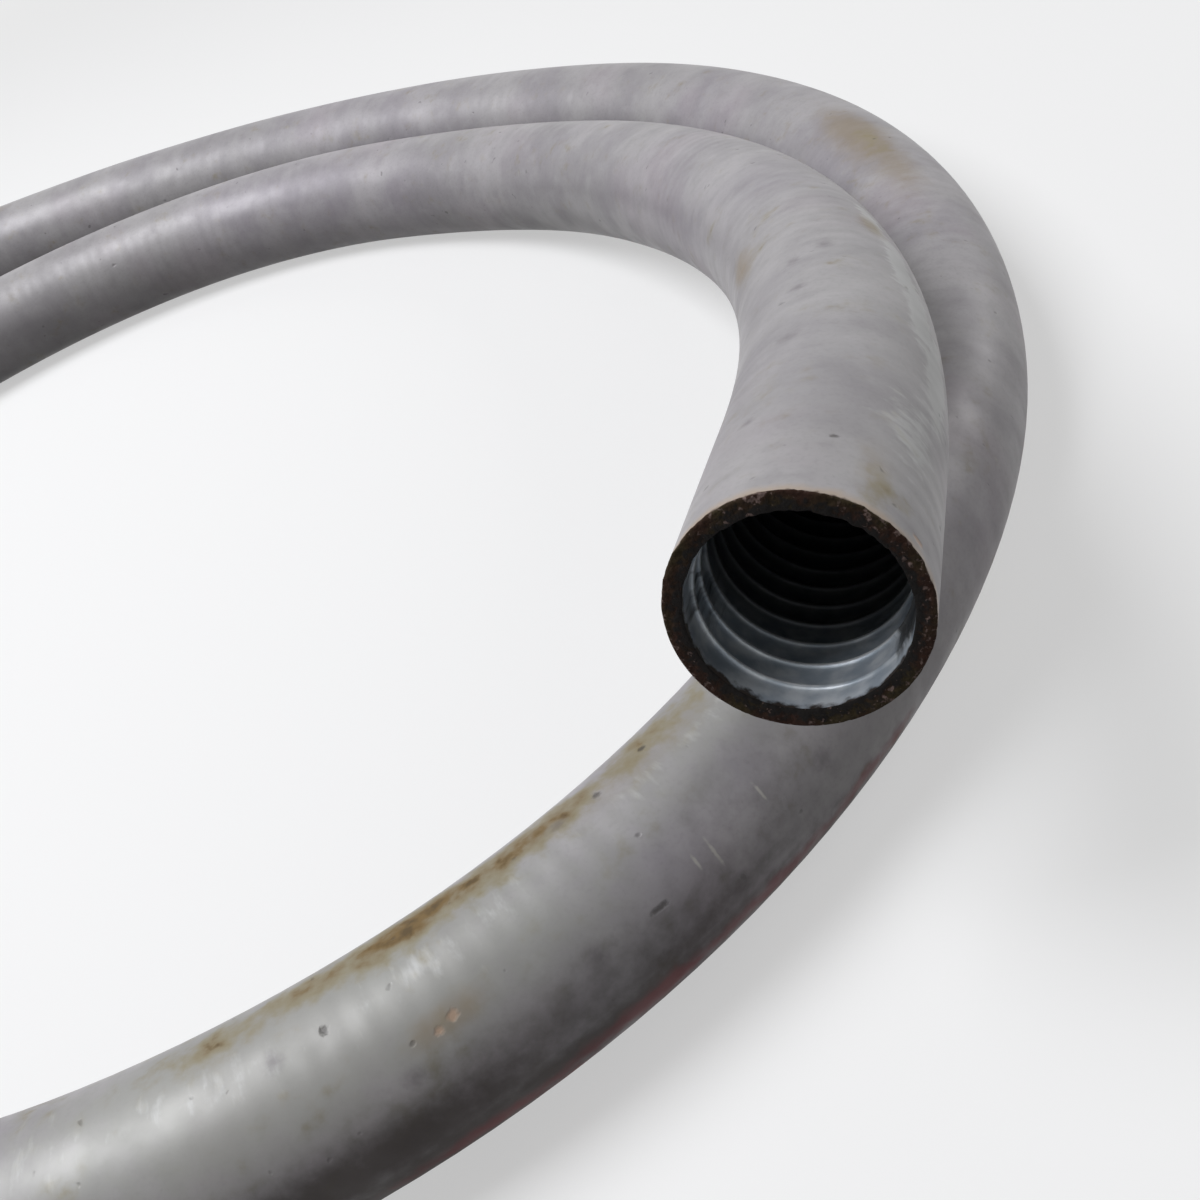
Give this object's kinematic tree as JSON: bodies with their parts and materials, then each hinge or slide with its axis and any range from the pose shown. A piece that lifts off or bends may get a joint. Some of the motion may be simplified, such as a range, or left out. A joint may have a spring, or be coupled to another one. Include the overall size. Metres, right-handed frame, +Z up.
{
  "type": "corroded steel pipe coil",
  "caption": "Galvanised steel pipe bent by hand into a loose coil that lies flat on the floor, with a square-cut open end sprung up over the turn below it and rust on its cut rims and skin.",
  "frame": {"origin": "on the floor, under the middle of the coil's bounding box", "axes": "+Z up from the floor; +Y along the coil's longer side, from the front, where the raised mouth points, to the back, where the tail lies; +X to the right, on the mouth's side"},
  "size_m": [0.4506, 0.5128, 0.0894],
  "materials": {
    "weathered_zinc": "aged galvanised steel: satin grey with faint bands across the pipe, ochre rust grime along one side, dark specks and scratches, and rough dark brown rust on both cut rims"
  },
  "bodies": {
    "root": {"pipe": "weathered_zinc"}
  },
  "joints": []
}
